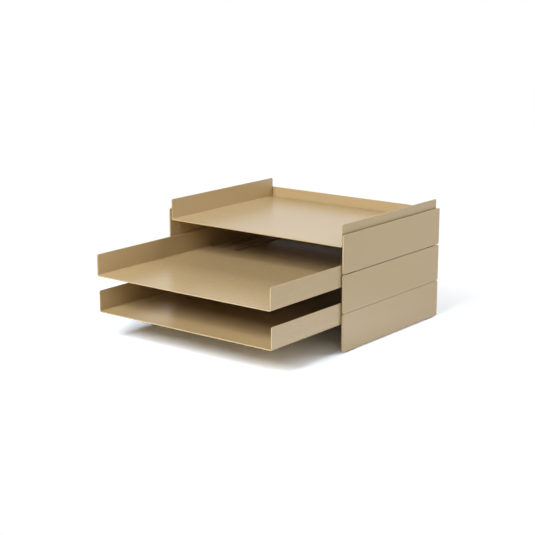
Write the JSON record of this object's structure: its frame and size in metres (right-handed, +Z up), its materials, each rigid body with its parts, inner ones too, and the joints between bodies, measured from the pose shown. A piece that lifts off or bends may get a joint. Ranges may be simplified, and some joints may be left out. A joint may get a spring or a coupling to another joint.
{
  "type": "desktop document organizer",
  "caption": "Stack of low sheet-metal frames, each holding an open-fronted paper tray that slides out, with upturned side flanges and a closed back.",
  "frame": {"origin": "on the desk, below the middle of the whole object with its trays pulled out as pictured", "axes": "+Z up, -Y the way the trays pull out, +X to the right seen from the front"},
  "size_m": [0.32, 0.412, 0.183],
  "materials": {
    "frame_paint": "satin powder coat, warm sand, fine texture",
    "tray_paint": "satin powder coat, warm sand, fine texture",
    "nylon": "matt black nylon",
    "strip_nylon": "matt sand-coloured nylon",
    "zinc_steel": "zinc-plated steel",
    "rubber": "matt black rubber"
  },
  "bodies": {
    "frame": {"feet": "rubber", "lower_back_panel": "frame_paint", "lower_bracket_left": "frame_paint", "lower_bracket_right": "frame_paint", "lower_glide_strip_left": "strip_nylon", "lower_glide_strip_right": "strip_nylon", "lower_panel_left": "frame_paint", "lower_panel_right": "frame_paint", "lower_shelf": "frame_paint", "lower_tongues": "frame_paint", "middle_back_panel": "frame_paint", "middle_bracket_left": "frame_paint", "middle_bracket_right": "frame_paint", "middle_glide_strip_left": "strip_nylon", "middle_glide_strip_right": "strip_nylon", "middle_panel_left": "frame_paint", "middle_panel_right": "frame_paint", "middle_shelf": "frame_paint", "upper_back_panel": "frame_paint", "upper_bracket_left": "frame_paint", "upper_bracket_right": "frame_paint", "upper_glide_strip_left": "strip_nylon", "upper_glide_strip_right": "strip_nylon", "upper_panel_left": "frame_paint", "upper_panel_right": "frame_paint", "upper_seam_pads": "rubber", "upper_shelf": "frame_paint", "upper_tongues": "frame_paint"},
    "lower_drawer": {"lower_lock_nuts": "zinc_steel", "lower_slide_bushes": "nylon", "lower_slide_studs": "zinc_steel", "lower_tray": "tray_paint"},
    "middle_drawer": {"middle_lock_nuts": "zinc_steel", "middle_slide_bushes": "nylon", "middle_slide_studs": "zinc_steel", "middle_tray": "tray_paint"},
    "upper_drawer": {"upper_lock_nuts": "zinc_steel", "upper_slide_bushes": "nylon", "upper_slide_studs": "zinc_steel", "upper_tray": "tray_paint"}
  },
  "joints": [
    {"name": "lower_tray_slide", "type": "slide", "parent": "frame", "child": "lower_drawer", "axis": [0, -1, 0], "range_m": [-0.157, 0.008]},
    {"name": "middle_tray_slide", "type": "slide", "parent": "frame", "child": "middle_drawer", "axis": [0, -1, 0], "range_m": [-0.1595, 0.0055]},
    {"name": "upper_tray_slide", "type": "slide", "parent": "frame", "child": "upper_drawer", "axis": [0, -1, 0], "range_m": [0, 0.165]}
  ]
}
